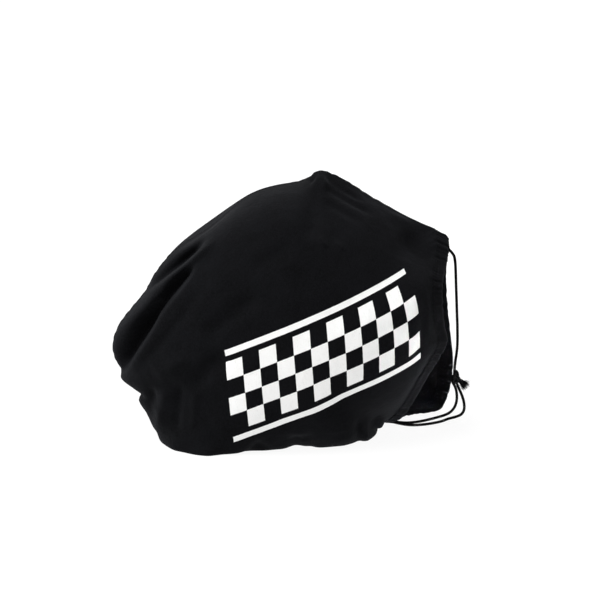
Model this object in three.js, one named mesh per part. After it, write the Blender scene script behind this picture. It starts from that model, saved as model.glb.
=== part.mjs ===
// A drawstring bag for a motorcycle helmet, in soft black cloth. It stands round and full,
// as it does over a helmet, lying on its side with its mouth open to the right.
// Frame: millimetres, X from the closed end to the mouth, the printed face toward -Y, Z up,
// and the origin on the floor under the middle of the bag.
import * as THREE from "three";

// Driving sizes of the bag.
const LENGTH = 381; // closed end to mouth, along X
const WIDTH = 250; // across the two panels, along Y
const HEIGHT = 292; // floor to the pinched peak
const CLOTH = 1.5; // wall of the cloth
const SEAM_GAP = 0.6; // clear space between the two panels at their seam
const SEAM_SKEW = 0.13; // turn of the seam's plane: Y for each millimetre of X
const FLOOR_BEND = 8; // height over which the cloth bends down on to the floor

// Driving sizes of the hems, the channels that the drawcord runs in.
const HEM_WIDTH = 18; // mouth edge to stitch line
const HEM_THICK = 6; // across the channel, with the room for the cord in it
const HEM_WALL = 1.2; // cloth round the channel
const HEM_OPENING = 7; // between the ends of the two hems, where the cords come out
const CLEARANCE = 0.3; // from the panel's edge to its hem

// Driving sizes of the cord and its knot.
const CORD = 2.6; // diameter
const KNOT_LOOP = 1.7; // size of the overhand knot's loops, for the formula below
const KNOT_LIFT = 1.55; // how far its strands pass over each other, for the same formula

// Fineness of the solids. A hem has its sections crowded toward its two ends, where it twists.
const FRONT_GRID = { rings: 16, stepsPerRow: 2 };
const BACK_GRID = { rings: 12, stepsPerRow: 1 };
const HEM_GRID = { sectionsPerRow: 1.6, crowding: 0.12 };
const CORD_SIDES = 8;
const CORD_STEP = 2.7; // length of a cord's steps, in diameters
const KNOT_POINTS = 16;
const KNOT_STEPS = 44;

const CLOTH_LOOK = { color: 0x17181b, roughness: 0.92, metalness: 0 };
const HEM_LOOK = { color: 0x141518, roughness: 0.92, metalness: 0 };
const CORD_LOOK = { color: 0x0f0f11, roughness: 0.7, metalness: 0 };

// Where the swollen middle of each panel lies: x as a share of LENGTH, z of HEIGHT. The power
// is how square the swell is, from 2 for a ball to 3 for a cushion. long and high are the
// half axes of the oval that the middle of the panel follows, as shares of LENGTH and HEIGHT,
// settle is how soon the outline's dents and corners fade into that oval, and join how soon
// the panel leaves the way that its hem lies, which it takes up within corner rows of the seam.
const MIDDLE = {
  x: 0.006, z: 0.428, power: 2.4, long: 0.5, high: 0.56, settle: 3, join: 14, corner: 3,
};

// The swell of the cloth at the two ends of the seam, as in the table of the seam.
const CORNER_SWELL = { lower: 0.55, upper: 1 };

// The side seam, from the mouth's lower corner under the bag, round the closed end and over
// the top to the mouth's upper corner: x as a share of LENGTH, z of HEIGHT. A z below zero
// is how far the outline would go on under the floor, so it sets how broadly the bag stands.
// swell is the power of the side's form near the seam: 0.5 is round, 1 falls like a tent.
const SEAM_ROWS = [
  { x: 0.236, z: -0.11, swell: 0.44 },
  { x: 0.165, z: -0.13, swell: 0.45 },
  { x: 0.035, z: -0.123, swell: 0.47 },
  { x: -0.096, z: -0.185, swell: 0.44 },
  { x: -0.214, z: -0.255, swell: 0.38 },
  { x: -0.316, z: -0.235, swell: 0.35 },
  { x: -0.367, z: -0.105, swell: 0.36 },
  { x: -0.386, z: 0.014, swell: 0.41 },
  { x: -0.392, z: 0.048, swell: 0.44 },
  { x: -0.411, z: 0.1, swell: 0.46 },
  { x: -0.429, z: 0.137, swell: 0.5 },
  { x: -0.42, z: 0.171, swell: 0.5 },
  { x: -0.445, z: 0.194, swell: 0.5 },
  { x: -0.478, z: 0.226, swell: 0.5 },
  { x: -0.477, z: 0.26, swell: 0.5 },
  { x: -0.486, z: 0.28, swell: 0.5 },
  { x: -0.499, z: 0.322, swell: 0.5 },
  { x: -0.499, z: 0.372, swell: 0.5 },
  { x: -0.482, z: 0.43, swell: 0.5 },
  { x: -0.451, z: 0.484, swell: 0.5 },
  { x: -0.406, z: 0.555, swell: 0.5 },
  { x: -0.382, z: 0.612, swell: 0.5 },
  { x: -0.351, z: 0.667, swell: 0.5 },
  { x: -0.31, z: 0.72, swell: 0.5 },
  { x: -0.221, z: 0.791, swell: 0.5 },
  { x: -0.133, z: 0.887, swell: 0.5 },
  { x: -0.088, z: 0.922, swell: 0.5 },
  { x: -0.035, z: 0.943, swell: 0.52 },
  { x: 0.035, z: 0.96, swell: 0.6 },
  { x: 0.066, z: 0.976, swell: 0.7 },
  { x: 0.095, z: 0.999, swell: 0.85 },
  { x: 0.135, z: 0.984, swell: 0.95 },
  { x: 0.183, z: 0.947, swell: 1 },
  { x: 0.256, z: 0.888, swell: 1 },
  { x: 0.366, z: 0.81, swell: 1 },
];

// The two edges of the mouth, from its upper corner down to its lower one: x as a share of
// LENGTH, open as the share of WIDTH by which the edge stands off the seam's plane, z as a
// share of HEIGHT above a hem that lies on the floor. The hem lies inward of the edge: lean
// is how far that way is turned up, and flare how far it is turned out, in degrees.
const FRONT_MOUTH_ROWS = [
  { x: 0.472, open: 0, z: 0.717, lean: 28, flare: 0 },
  { x: 0.473, open: 0.045, z: 0.686, lean: 30, flare: 10 },
  { x: 0.465, open: 0.1, z: 0.647, lean: 32, flare: 20 },
  { x: 0.454, open: 0.165, z: 0.611, lean: 31, flare: 28 },
  { x: 0.446, open: 0.225, z: 0.573, lean: 28, flare: 33 },
  { x: 0.445, open: 0.268, z: 0.505, lean: 14, flare: 40 },
  { x: 0.45, open: 0.282, z: 0.437, lean: 4, flare: 43 },
  { x: 0.459, open: 0.28, z: 0.375, lean: 2, flare: 44 },
  { x: 0.437, open: 0.255, z: 0.305, lean: 3, flare: 44 },
  { x: 0.408, open: 0.214, z: 0.228, lean: 3, flare: 43 },
  { x: 0.379, open: 0.148, z: 0.135, lean: 0, flare: 40 },
  { x: 0.349, open: 0.082, z: 0.052, lean: 4, flare: 32 },
  { x: 0.328, open: 0.042, z: 0.02, lean: 4, flare: 18 },
  { x: 0.311, open: 0, z: 0.006, lean: 0, flare: 0 },
];
const BACK_MOUTH_ROWS = [
  { x: 0.472, open: 0, z: 0.717, lean: 28, flare: 0 },
  { x: 0.476, open: 0.045, z: 0.685, lean: 30, flare: 10 },
  { x: 0.477, open: 0.095, z: 0.63, lean: 30, flare: 20 },
  { x: 0.478, open: 0.155, z: 0.545, lean: 26, flare: 28 },
  { x: 0.488, open: 0.236, z: 0.41, lean: 8, flare: 38 },
  { x: 0.499, open: 0.252, z: 0.28, lean: 0, flare: 40 },
  { x: 0.504, open: 0.24, z: 0.19, lean: 0, flare: 42 },
  { x: 0.497, open: 0.226, z: 0.098, lean: 4, flare: 42 },
  { x: 0.476, open: 0.206, z: 0.03, lean: 14, flare: 42 },
  { x: 0.447, open: 0.182, z: 0.006, lean: 24, flare: 46 },
  { x: 0.379, open: 0.132, z: 0.006, lean: 28, flare: 46 },
  { x: 0.336, open: 0.06, z: 0.006, lean: 18, flare: 28 },
  { x: 0.311, open: 0, z: 0.006, lean: 0, flare: 0 },
];

// The large folds of each panel, straight from one place to another: x as shares of LENGTH,
// z of HEIGHT, out as a share of WIDTH (below zero for a valley), half as the half width,
// a share of HEIGHT. A fold fades in from before its first place to within its length, as
// shares of that length, and its other end does the same. The power is how near to the
// panel's edge the folds keep their height.
const FOLD_FADE = { before: 0.15, within: 0.2, power: 6 };
const FRONT_FOLDS = [
  { x0: -0.23, z0: 0.77, x1: -0.375, z1: 0.6, out: -0.016, half: 0.024 },
  { x0: -0.21, z0: 0.75, x1: -0.465, z1: 0.43, out: 0.022, half: 0.026 },
  { x0: -0.262, z0: 0.67, x1: -0.455, z1: 0.33, out: -0.05, half: 0.034 },
  { x0: -0.235, z0: 0.66, x1: -0.44, z1: 0.29, out: 0.014, half: 0.028 },
  { x0: -0.082, z0: 0.6, x1: -0.212, z1: 0.468, out: -0.014, half: 0.045 },
  { x0: -0.171, z0: 0.398, x1: -0.255, z1: 0.27, out: -0.016, half: 0.045 },
  { x0: -0.36, z0: 0.3, x1: -0.28, z1: 0.364, out: 0.012, half: 0.03 },
  { x0: -0.335, z0: 0.25, x1: -0.365, z1: 0.1, out: 0.016, half: 0.03 },
  { x0: 0.085, z0: 0.95, x1: 0.07, z1: 0.8, out: -0.012, half: 0.03 },
];
const BACK_FOLDS = [
  { x0: -0.2, z0: 0.72, x1: -0.44, z1: 0.4, out: 0.024, half: 0.04 },
  { x0: -0.24, z0: 0.6, x1: -0.43, z1: 0.3, out: -0.036, half: 0.04 },
  { x0: 0.09, z0: 0.92, x1: 0.16, z1: 0.6, out: -0.024, half: 0.05 },
  { x0: 0.3, z0: 0.72, x1: 0.12, z1: 0.45, out: -0.02, half: 0.05 },
  { x0: 0.38, z0: 0.25, x1: 0.16, z1: 0.34, out: -0.02, half: 0.045 },
];

// The cord's three free strands, point by point, as they hang and lie. The upper strand comes
// out of the mouth's upper corner and falls to the knot. The two lower strands fall from the
// knot to the floor and run along it into the mouth's lower corner.
const UPPER_STRAND = [
  [172.4, 22.4, 216.6], [176.6, 22.8, 212.6], [179.2, 23, 206.6], [181, 22.9, 201.4],
  [184, 22.4, 198.2], [187, 21.2, 193.6], [188.3, 20.6, 186], [189, 20.2, 175],
  [189.6, 20, 162], [190.4, 19.8, 146],
  [191.2, 19.4, 129], [192, 19, 112], [192.3, 18.5, 95], [191.6, 17.9, 84], [190.2, 17.2, 73.5],
  [189.5, 16.5, 65.5], [189.3, 16, 59.8],
];
const LOWER_STRAND_BACK = [
  [187.3, 14.8, 47.8], [189.4, 15.6, 42.5], [191.2, 17, 36], [192, 19.8, 28.5],
  [191.3, 24, 19], [189.4, 31, 9.5],
  [185.6, 38.5, 3.2], [179.5, 39.4, 1.6], [171.5, 36.6, 1.6], [161, 30.2, 1.6],
  [152.5, 23.8, 1.6], [144.5, 20, 1.6], [135.5, 18.2, 1.6], [127.5, 18.2, 2.2],
  [120, 17.7, 3.6], [111, 16.4, 4.6],
];
const LOWER_STRAND_FRONT = [
  [191.4, 17.2, 47.3], [193.8, 15, 42.6], [197, 11.8, 36], [198.8, 10.4, 28.5], [199, 12.4, 19.5],
  [197.4, 17.4, 10], [193, 24, 3.6], [186.4, 26.8, 1.6], [177.5, 20.4, 1.6], [168, 15, 1.6],
  [158, 10.9, 1.6], [146, 7.8, 1.6], [136, 10, 1.6], [127.5, 13.2, 2.2], [119.5, 14.1, 3.6],
  [111, 13.1, 4.6],
];

// The middle of the knot, and its two tails from the knot to their ends.
const KNOT_PLACE = new THREE.Vector3(189.3, 16, 53);
const KNOT_TAILS = [
  [[196.2, 15.6, 49.6], [199.8, 14.4, 48.8], [203.2, 13.6, 48.8]],
  [[197, 13.6, 54.6], [201, 12.2, 54], [204.6, 11, 52.8]],
];

// One column of a table at the place s, counted in rows: a smooth curve through every row.
function read(rows, column, s) {
  const last = rows.length - 1;
  const row = Math.min(Math.floor(s), last - 1);
  const at = (k) => rows[THREE.MathUtils.clamp(k, 0, last)][column];
  const f = s - row;
  const [a, b, c, d] = [at(row - 1), at(row), at(row + 1), at(row + 2)];
  const slope0 = (c - a) / 2;
  const slope1 = (d - b) / 2;
  const cube = 2 * b - 2 * c + slope0 + slope1;
  const square = -3 * b + 3 * c - 2 * slope0 - slope1;
  return ((cube * f + square) * f + slope0) * f + b;
}

const seamY = (x) => SEAM_SKEW * x;
const acrossSeam = new THREE.Vector3(-SEAM_SKEW, 1, 0).normalize();

// The mouth edge of one side at the place s: the edge itself, the way inward along the hem,
// and the way out of the cloth. side is -1 for the front and 1 for the back.
function mouthAt(rows, side, s) {
  const place = (t) => {
    const x = read(rows, "x", t) * LENGTH;
    const y = seamY(x) + side * read(rows, "open", t) * WIDTH;
    return new THREE.Vector3(x, y, read(rows, "z", t) * HEIGHT + HEM_THICK / 2);
  };
  const lean = THREE.MathUtils.degToRad(read(rows, "lean", s));
  const flare = THREE.MathUtils.degToRad(read(rows, "flare", s));
  const along = Math.cos(lean) * Math.cos(flare);
  const rise = Math.sin(lean) * Math.cos(flare);
  const inward = new THREE.Vector3(-along, side * Math.sin(flare) - SEAM_SKEW * along, rise);
  inward.normalize();
  const nearby = 0.01;
  const before = place(Math.max(s - nearby, 0));
  const after = place(Math.min(s + nearby, rows.length - 1));
  const out = after.sub(before).cross(inward).multiplyScalar(side).normalize();
  return { edge: place(s), inward, out };
}

// The places along a mouth edge where the hem has its sections: clear of the seam at both
// ends by half the opening for the cords. Each end is found by halving the stretch it lies in.
function mouthPlaces(rows, side) {
  const last = rows.length - 1;
  const halvings = 40;
  const offSeam = (s) => {
    const { edge } = mouthAt(rows, side, s);
    return Math.abs(edge.y - seamY(edge.x));
  };
  const clear = (from, toward) => {
    let near = from;
    let far = toward;
    for (let k = 0; k < halvings; k += 1) {
      const half = (near + far) / 2;
      if (offSeam(half) < HEM_OPENING / 2) near = half;
      else far = half;
    }
    return far;
  };
  const first = clear(0, 1);
  const end = clear(last, last - 1);
  const count = Math.round((last - 1) * HEM_GRID.sectionsPerRow);
  return Array.from({ length: count + 1 }, (_, k) => {
    const share = k / count - HEM_GRID.crowding * Math.sin((2 * Math.PI * k) / count);
    return first + (end - first) * share;
  });
}

// The whole edge of one panel: the seam, then the inner side of its hem from top to bottom.
function panelEdge(rows, side, stepsPerRow) {
  const corner = (s) => {
    const { edge, inward } = mouthAt(rows, side, s);
    const place = edge.addScaledVector(inward, HEM_WIDTH + CLEARANCE);
    return { x: place.x / LENGTH, z: place.z / HEIGHT };
  };
  const lower = { ...corner(rows.length - 1), swell: CORNER_SWELL.lower };
  const upper = { ...corner(0), swell: CORNER_SWELL.upper };
  const seam = [lower, ...SEAM_ROWS, upper];
  const points = [];
  const steps = (seam.length - 1) * stepsPerRow;
  for (let k = 0; k <= steps; k += 1) {
    const s = (k * (seam.length - 1)) / steps;
    const x = read(seam, "x", s) * LENGTH;
    const place = new THREE.Vector3(x, seamY(x), read(seam, "z", s) * HEIGHT);
    place.addScaledVector(acrossSeam, (side * SEAM_GAP) / 2);
    points.push({ place, swell: read(seam, "swell", s), out: null });
  }
  for (const s of mouthPlaces(rows, side)) {
    const { edge, inward, out } = mouthAt(rows, side, s);
    const place = edge.addScaledVector(inward, HEM_WIDTH + CLEARANCE);
    place.addScaledVector(out, CLOTH / 2);
    const fromCorner = Math.min(s, rows.length - 1 - s);
    const hold = THREE.MathUtils.smoothstep(fromCorner, 0, MIDDLE.corner);
    points.push({ place, swell: CORNER_SWELL.upper, out, inward, hold });
  }
  return points;
}

// How far a point of a panel is pushed out or in by the folds: each is a soft ridge across
// its line that fades out at both ends.
function foldHeight(folds, x, z) {
  let height = 0;
  for (const fold of folds) {
    const from = new THREE.Vector2(fold.x0 * LENGTH, fold.z0 * HEIGHT);
    const way = new THREE.Vector2(fold.x1 * LENGTH, fold.z1 * HEIGHT).sub(from);
    const to = new THREE.Vector2(x, z).sub(from);
    const along = to.dot(way) / way.lengthSq();
    const across = to.cross(way) / way.length() / (fold.half * HEIGHT);
    const fade = (t) => THREE.MathUtils.smoothstep(t, -FOLD_FADE.before, FOLD_FADE.within);
    height += fold.out * WIDTH * Math.exp(-across * across) * fade(along) * fade(1 - along);
  }
  return height;
}

// The cloth bends softly down to the floor and lies flat on it.
function onFloor(z) {
  if (z <= -FLOOR_BEND) return 0;
  if (z >= FLOOR_BEND) return z;
  return (z + FLOOR_BEND) ** 2 / (4 * FLOOR_BEND);
}

// How far from the middle a point lies that is at a given reach, from 0 in the middle to 1 at
// the edge: the distance of the edge, eased toward that of a plain oval on the way in.
function spread(toEdge, reach) {
  const edge = Math.hypot(toEdge.x, toEdge.z);
  const long = toEdge.x / edge / (MIDDLE.long * LENGTH);
  const high = toEdge.z / edge / (MIDDLE.high * HEIGHT);
  const oval = 1 / Math.hypot(long, high);
  return (reach * (oval + (edge - oval) * reach ** MIDDLE.settle)) / edge;
}

// The outer face of one panel as rings of points from its middle to its edge. Each ring is
// the edge drawn in toward the middle, and it stands out from the edge by the swell.
function panelRings(edge, folds, side, count) {
  const middle = new THREE.Vector3(MIDDLE.x * LENGTH, (side * WIDTH) / 2, MIDDLE.z * HEIGHT);
  const rings = [];
  for (let ring = 0; ring <= count; ring += 1) {
    const reach = Math.sin((Math.PI / 2) * (ring / count));
    rings.push(edge.map(({ place, swell, inward, hold }) => {
      const rise = (1 - reach ** MIDDLE.power) ** swell;
      const toEdge = place.clone().sub(middle);
      const point = toEdge.clone().multiplyScalar(spread(toEdge, reach)).add(middle);
      point.y = place.y + (middle.y - place.y) * rise;
      const push = foldHeight(folds, point.x, point.z) * (1 - reach ** FOLD_FADE.power);
      const out = point.clone().sub(new THREE.Vector3(middle.x, 0, middle.z));
      out.divide(new THREE.Vector3(LENGTH ** 2, WIDTH ** 2, HEIGHT ** 2)).normalize();
      point.addScaledVector(out, push);
      if (inward) {
        const onward = place.clone().addScaledVector(inward, toEdge.length() * (1 - reach));
        point.lerp(onward, hold * reach ** MIDDLE.join);
      }
      point.z = onFloor(point.z);
      return point;
    }));
  }
  return rings;
}

// Triangles between closed rings of points numbered one after another.
function joinRings(indices, firstA, firstB, size, flip) {
  for (let k = 0; k < size; k += 1) {
    const next = (k + 1) % size;
    const quad = [firstA + k, firstA + next, firstB + next, firstB + k];
    if (flip) quad.reverse();
    indices.push(quad[0], quad[1], quad[2], quad[0], quad[2], quad[3]);
  }
}

function solidFrom(points, indices) {
  const geometry = new THREE.BufferGeometry().setFromPoints(points);
  geometry.setIndex(indices);
  return geometry;
}

// One panel: a wall of cloth with an outer face, an inner face and a rim that joins them.
function panelGeometry(rows, folds, side, grid) {
  const ringCount = grid.rings;
  const edge = panelEdge(rows, side, grid.stepsPerRow);
  const size = edge.length;
  const rings = panelRings(edge, folds, side, ringCount);
  const flip = side > 0;
  const outer = [rings[0][0], ...rings.slice(1).flat()];
  const face = [];
  for (let k = 0; k < size; k += 1) {
    const pair = [1 + k, 1 + ((k + 1) % size)];
    if (flip) pair.reverse();
    face.push(0, pair[1], pair[0]);
  }
  for (let ring = 1; ring < ringCount; ring += 1) {
    joinRings(face, 1 + (ring - 1) * size, 1 + ring * size, size, flip);
  }
  const skin = solidFrom(outer, face);
  skin.computeVertexNormals();
  const normals = skin.getAttribute("normal");
  const inner = outer.map((point, k) => {
    const normal = new THREE.Vector3().fromBufferAttribute(normals, k);
    const rim = k - (outer.length - size);
    if (rim >= 0 && edge[rim].out) normal.copy(edge[rim].out);
    if (rim >= 0 && !edge[rim].out) normal.projectOnPlane(acrossSeam).normalize();
    return point.clone().addScaledVector(normal, -CLOTH);
  });
  const indices = [...face];
  for (let k = 0; k < face.length; k += 3) {
    indices.push(outer.length + face[k], outer.length + face[k + 2], outer.length + face[k + 1]);
  }
  joinRings(indices, outer.length - size, 2 * outer.length - size, size, flip);
  return solidFrom([...outer, ...inner], indices);
}

// One hem: a flat sleeve of cloth along its mouth edge, open at both ends for the cord. Its
// section is flat over most of its width and falls to two narrow sides.
function hemGeometry(rows, side) {
  const flatShare = 0.6;
  const sideShare = 0.4;
  const sleeve = (thick, wall) => {
    const half = HEM_WIDTH / 2 - wall;
    const high = thick / 2;
    const flat = half * flatShare;
    const low = high * sideShare;
    return [
      [-half, -low], [-flat, -high], [flat, -high], [half, -low],
      [half, low], [flat, high], [-flat, high], [-half, low],
    ];
  };
  const outline = sleeve(HEM_THICK, 0);
  const channel = sleeve(HEM_THICK - 2 * HEM_WALL, HEM_WALL);
  const size = outline.length;
  const points = [];
  const places = mouthPlaces(rows, side);
  for (const s of places) {
    const { edge, inward, out } = mouthAt(rows, side, s);
    edge.addScaledVector(inward, HEM_WIDTH / 2);
    for (const [across, up] of [...outline, ...channel]) {
      points.push(edge.clone().addScaledVector(inward, across).addScaledVector(out, up));
    }
  }
  const indices = [];
  const flip = side < 0;
  for (let k = 0; k < places.length - 1; k += 1) {
    const here = k * 2 * size;
    const next = here + 2 * size;
    joinRings(indices, here, next, size, flip);
    joinRings(indices, here + size, next + size, size, !flip);
  }
  const end = (places.length - 1) * 2 * size;
  joinRings(indices, 0, size, size, !flip);
  joinRings(indices, end, end + size, size, flip);
  return solidFrom(points, indices);
}

// A cord: its round section carried along a smooth curve through the points.
function cordGeometry(points, steps) {
  const section = new THREE.Shape();
  for (let k = 0; k < CORD_SIDES; k += 1) {
    const turn = (2 * Math.PI * k) / CORD_SIDES;
    const [x, y] = [(CORD / 2) * Math.cos(turn), (CORD / 2) * Math.sin(turn)];
    if (k === 0) section.moveTo(x, y);
    else section.lineTo(x, y);
  }
  section.closePath();
  const path = new THREE.CatmullRomCurve3(points, false, "centripetal");
  return new THREE.ExtrudeGeometry(section, { steps, extrudePath: path });
}

function strandGeometry(rows) {
  const points = rows.map((row) => new THREE.Vector3(...row));
  const length = new THREE.CatmullRomCurve3(points, false, "centripetal").getLength();
  return cordGeometry(points, Math.round(length / (CORD_STEP * CORD)));
}

// The knot: the two loops and the tuck of an overhand knot, then its two tails. The strand
// goes three times round while it passes twice through the middle.
function knotGeometry() {
  const points = [];
  for (let k = 1; k < KNOT_POINTS; k += 1) {
    const t = Math.PI / 3 + (2 * Math.PI * k) / KNOT_POINTS;
    const across = Math.sin(t) + 2 * Math.sin(2 * t);
    const up = 2 * Math.cos(2 * t) - Math.cos(t);
    const over = -Math.sin(3 * t);
    const loop = new THREE.Vector3(across * KNOT_LOOP, over * KNOT_LIFT, up * KNOT_LOOP);
    points.push(loop.add(KNOT_PLACE));
  }
  const tails = KNOT_TAILS.map((tail) => tail.map((row) => new THREE.Vector3(...row)));
  return cordGeometry([...tails[0].reverse(), ...points, ...tails[1]], KNOT_STEPS);
}

function piece(name, geometry, look) {
  const mesh = new THREE.Mesh(geometry, new THREE.MeshStandardMaterial(look));
  mesh.name = name;
  return mesh;
}

const FRONT = -1;
const BACK = 1;
const frontPanel = panelGeometry(FRONT_MOUTH_ROWS, FRONT_FOLDS, FRONT, FRONT_GRID);
const backPanel = panelGeometry(BACK_MOUTH_ROWS, BACK_FOLDS, BACK, BACK_GRID);
const cloth = new THREE.Group();
cloth.add(
  piece("front_panel", frontPanel, CLOTH_LOOK),
  piece("back_panel", backPanel, CLOTH_LOOK),
);
const mouth = new THREE.Group();
mouth.add(
  piece("front_hem", hemGeometry(FRONT_MOUTH_ROWS, FRONT), HEM_LOOK),
  piece("back_hem", hemGeometry(BACK_MOUTH_ROWS, BACK), HEM_LOOK),
);
const drawcord = new THREE.Group();
drawcord.add(
  piece("upper_strand", strandGeometry(UPPER_STRAND), CORD_LOOK),
  piece("lower_strand_back", strandGeometry(LOWER_STRAND_BACK), CORD_LOOK),
  piece("lower_strand_front", strandGeometry(LOWER_STRAND_FRONT), CORD_LOOK),
  piece("cord_knot", knotGeometry(), CORD_LOOK),
);

const bag = new THREE.Group();
bag.add(cloth, mouth, drawcord);
export default bag;
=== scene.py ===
import bpy
import numpy as np
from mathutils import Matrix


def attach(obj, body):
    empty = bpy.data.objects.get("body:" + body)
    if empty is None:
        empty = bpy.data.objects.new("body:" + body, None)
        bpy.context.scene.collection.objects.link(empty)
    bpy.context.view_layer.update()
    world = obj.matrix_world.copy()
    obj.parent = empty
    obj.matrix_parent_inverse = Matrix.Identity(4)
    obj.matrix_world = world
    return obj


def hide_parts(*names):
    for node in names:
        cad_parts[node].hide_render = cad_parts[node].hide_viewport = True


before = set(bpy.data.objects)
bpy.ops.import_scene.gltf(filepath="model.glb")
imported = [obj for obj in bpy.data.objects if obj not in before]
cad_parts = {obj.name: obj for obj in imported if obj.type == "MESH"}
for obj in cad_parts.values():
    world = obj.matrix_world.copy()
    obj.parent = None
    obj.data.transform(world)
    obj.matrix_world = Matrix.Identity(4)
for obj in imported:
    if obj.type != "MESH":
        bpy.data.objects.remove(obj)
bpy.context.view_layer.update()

# A camera a little above the bag, straight in front of its printed panel.
view_target = np.array([0.0148, 0.0, 0.1483])
view_distance = 1.85
view_elevation = np.radians(12.0)
camera_data = bpy.data.cameras.new("view_camera")
camera_data.lens = 100.0
camera_data.sensor_width = 36.0
camera_data.clip_end = 20.0
camera = bpy.data.objects.new("view_camera", camera_data)
camera.location = view_target + view_distance * np.array(
    [0.0, -np.cos(view_elevation), np.sin(view_elevation)])
camera.rotation_euler = (np.pi / 2 - view_elevation, 0.0, 0.0)
bpy.context.scene.collection.objects.link(camera)
bpy.context.scene.camera = camera

# The free ends of the drawcord: a soft black cord braided round, 3.2 mm thick. One strand
# falls from the mouth's upper corner, two run out of its lower corner along the floor, and
# all are tied together in one overhand knot.
cord_radius = 0.0016
upper_route = [
    (0.1724, 0.0224, 0.2166), (0.1766, 0.0228, 0.2126), (0.1792, 0.0230, 0.2066),
    (0.1810, 0.0229, 0.2014), (0.1840, 0.0224, 0.1982), (0.1870, 0.0212, 0.1936),
    (0.1883, 0.0206, 0.1860), (0.1890, 0.0202, 0.1750), (0.1896, 0.0200, 0.1620),
    (0.1904, 0.0198, 0.1460), (0.1912, 0.0194, 0.1290), (0.1920, 0.0190, 0.1120),
    (0.1923, 0.0185, 0.0950), (0.1916, 0.0179, 0.0840), (0.1902, 0.0172, 0.0735),
    (0.1895, 0.0165, 0.0655), (0.1893, 0.0160, 0.0598),
]
lower_back_route = [
    (0.1880, 0.0150, 0.0490), (0.1908, 0.0158, 0.0435), (0.1926, 0.0174, 0.0355),
    (0.1928, 0.0203, 0.0265), (0.1909, 0.0250, 0.0178), (0.1870, 0.0325, 0.0100),
    (0.1816, 0.0385, 0.0050), (0.1740, 0.0388, 0.0024), (0.1660, 0.0342, 0.0016),
    (0.1590, 0.0285, 0.0016), (0.1520, 0.0236, 0.0016), (0.1445, 0.0200, 0.0016),
    (0.1355, 0.0182, 0.0016), (0.1275, 0.0182, 0.0022), (0.1200, 0.0177, 0.0036),
    (0.1110, 0.0164, 0.0046),
]
lower_front_route = [
    (0.1924, 0.0172, 0.0480), (0.1950, 0.0150, 0.0420), (0.1982, 0.0120, 0.0348),
    (0.2004, 0.0110, 0.0268), (0.2008, 0.0132, 0.0186), (0.1984, 0.0195, 0.0112),
    (0.1930, 0.0285, 0.0056), (0.1850, 0.0310, 0.0026), (0.1765, 0.0240, 0.0016),
    (0.1675, 0.0172, 0.0016), (0.1580, 0.0122, 0.0016), (0.1460, 0.0086, 0.0016),
    (0.1360, 0.0100, 0.0016), (0.1275, 0.0132, 0.0022), (0.1195, 0.0141, 0.0036),
    (0.1110, 0.0131, 0.0046),
]
knot_place = np.array([0.1908, 0.0160, 0.0552])
knot_tails = [
    [(0.1942, 0.0156, 0.0514), (0.1966, 0.0150, 0.0490), (0.1988, 0.0146, 0.0468)],
    [(0.1952, 0.0136, 0.0536), (0.1984, 0.0126, 0.0520), (0.2010, 0.0118, 0.0502)],
]


def smooth_rows(rows, s):
    """The rows of a table at the places s, counted in rows: a cubic through every row, whose
    slope at a row is half the step from the row before it to the row after it."""
    rows = np.asarray(rows, float)
    last = len(rows) - 1
    k = np.clip(np.floor(s).astype(int), 0, last - 1)
    f = (s - k)[:, None]
    a, b = rows[np.clip(k - 1, 0, last)], rows[k]
    c, d = rows[k + 1], rows[np.clip(k + 2, 0, last)]
    slope0, slope1 = (c - a) / 2, (d - b) / 2
    cube = 2 * b - 2 * c + slope0 + slope1
    square = -3 * b + 3 * c - 2 * slope0 - slope1
    return ((cube * f + square) * f + slope0) * f + b


def even_route(points, step):
    """The smooth curve through the points, with places about one step apart along it."""
    fine = smooth_rows(points, np.linspace(0, len(points) - 1, 60 * len(points)))
    along = np.r_[0, np.cumsum(np.linalg.norm(np.diff(fine, axis=0), axis=1))]
    at = np.linspace(0, along[-1], int(np.ceil(along[-1] / step)) + 1)
    return np.stack([np.interp(at, along, fine[:, k]) for k in range(3)], 1), at


def unit(a):
    """The same directions, each one long."""
    return a / np.maximum(np.linalg.norm(a, axis=-1, keepdims=True), 1e-12)


def mesh_piece(name, points, faces, material, corners=None):
    """A smooth mesh piece. corners holds two numbers for every corner of every face."""
    mesh = bpy.data.meshes.new(name)
    mesh.from_pydata(points.reshape(-1, 3), [], faces)
    if corners is not None:
        mesh.uv_layers.new(name="cloth_map").data.foreach_set("uv", corners.ravel())
    mesh.polygons.foreach_set("use_smooth", np.ones(len(mesh.polygons), bool))
    mesh.materials.append(material)
    mesh.update()
    piece = bpy.data.objects.new(name, mesh)
    bpy.context.scene.collection.objects.link(piece)
    return piece


def ring_faces(rows, columns):
    """Four-cornered faces between closed rings of points, and each corner's row and column,
    counted on past the last column."""
    r, c = np.meshgrid(np.arange(rows - 1), np.arange(columns), indexing="ij")
    r4 = np.stack([r, r, r + 1, r + 1], -1).reshape(-1, 4)
    c4 = np.stack([c, c + 1, c + 1, c], -1).reshape(-1, 4)
    return r4 * columns + c4 % columns, r4, c4


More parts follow.
